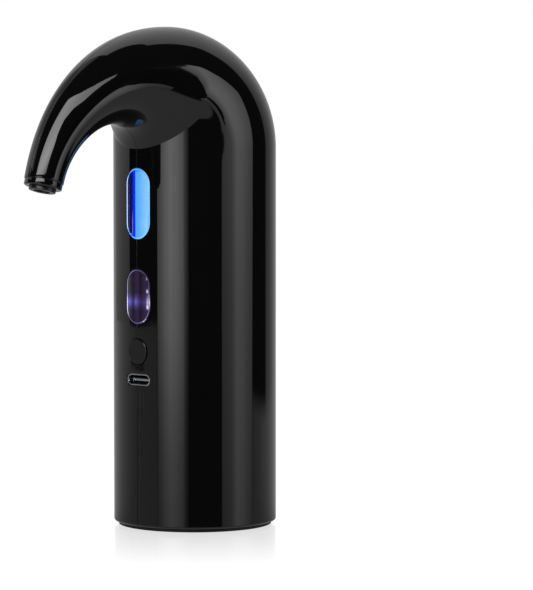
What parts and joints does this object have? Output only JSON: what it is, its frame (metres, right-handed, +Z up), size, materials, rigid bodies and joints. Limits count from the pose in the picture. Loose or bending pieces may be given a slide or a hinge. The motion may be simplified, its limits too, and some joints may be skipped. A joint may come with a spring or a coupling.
{
  "type": "electric wine aerator",
  "caption": "Upright round body with a hook spout, lit windows, a push button and a charging port; stands on a bottle neck and pumps wine up through an aeration chamber.",
  "frame": {"origin": "on the body axis, in the plane of the foot's underside", "axes": "+Z up along the body, -Y towards the spout and the button, +X to the right seen from the front"},
  "size_m": [0.046, 0.0864, 0.1405],
  "materials": {
    "gloss_black": "deep gloss black ABS",
    "matte_black": "fine matte black moulding",
    "rubber_black": "soft black silicone rubber",
    "rubber_red": "soft red valve rubber",
    "window_blue": "clear polycarbonate lit blue",
    "window_violet": "clear polycarbonate lit violet",
    "clear_tube": "polished clear tube",
    "diffuser_white": "milky light diffuser",
    "steel": "plain zinc-plated steel",
    "nickel": "thin nickel strip",
    "brass": "turned brass",
    "copper_winding": "enamelled copper on a steel core",
    "magnet_grey": "sintered ferrite",
    "board_green": "green solder mask on glass fibre",
    "board_white": "white solder mask on glass fibre",
    "led_blue": "clear lamp body, lit blue",
    "led_violet": "clear lamp body, lit violet",
    "white_plastic": "natural white acetal",
    "grey_plastic": "grey moulded ABS",
    "silicone_hose": "translucent silicone",
    "cell_blue": "shrink sleeve over a steel can",
    "lead_red": "red wire insulation",
    "lead_yellow": "yellow wire insulation"
  },
  "bodies": {
    "housing": {"left_shell": "gloss_black", "right_shell": "gloss_black", "base_cup": "matte_black", "bottle_seal": "rubber_black", "foot_ring": "rubber_black", "base_screws": "steel", "nozzle_collar": "gloss_black", "nozzle": "matte_black", "upper_window": "window_blue", "lower_window": "window_violet", "switch_body": "matte_black", "switch_dome": "steel", "charge_port": "steel", "port_tongue": "matte_black", "control_board": "board_green", "board_components": "matte_black", "small_screws": "steel", "straw_socket": "white_plastic", "straw_nut": "grey_plastic", "straw_oring": "rubber_black", "bottle_air_nipple": "white_plastic", "check_valve": "rubber_red", "wine_riser_hose": "silicone_hose", "mixing_block": "white_plastic", "air_jet": "brass", "aeration_chamber": "clear_tube", "chamber_seals": "rubber_black", "chamber_cap": "white_plastic", "spout_hose": "silicone_hose", "pump_air_hose": "silicone_hose", "air_tee": "white_plastic", "jet_air_hose": "silicone_hose", "bottle_air_hose": "silicone_hose", "motor_end_cap": "white_plastic", "motor_can": "steel", "motor_magnets": "magnet_grey", "pump_body": "white_plastic", "diaphragm": "rubber_black", "valve_plate": "white_plastic", "valve_flaps": "rubber_red", "pump_head": "white_plastic", "pump_screws": "steel", "pump_sleeve": "rubber_black", "battery_cell": "cell_blue", "battery_tabs": "nickel", "battery_holder": "matte_black", "battery_leads": "lead_red", "motor_leads": "lead_yellow", "light_board": "board_white", "upper_led": "led_blue", "lower_led": "led_violet", "light_diffuser": "diffuser_white", "chassis": "grey_plastic", "chassis_screws": "steel"},
    "button": {"power_button": "gloss_black", "switch_plunger": "matte_black"},
    "rotor": {"rotor": "copper_winding", "eccentric_hub": "white_plastic", "crank_pin": "steel"},
    "drive_plate": {"drive_plate": "white_plastic"}
  },
  "joints": [
    {"name": "button_press", "type": "slide", "parent": "housing", "child": "button", "axis": [0, 1, 0], "range_m": [0, 0.0006], "stiffness_N_per_m": 1200, "springref_m": -0.0005},
    {"name": "rotor_spin", "type": "hinge", "parent": "housing", "child": "rotor", "pos_m": [0, 0.0075, 0.08], "axis": [0, 0, 1], "continuous": true},
    {"name": "plate_wobble", "type": "hinge", "parent": "rotor", "child": "drive_plate", "pos_m": [0, 0.0075, 0.0958], "axis": [-0.1392, 0, 0.9903], "continuous": true}
  ],
  "couplings": [
    {"joint": "plate_wobble", "follows": "rotor_spin", "ratio": -1}
  ]
}
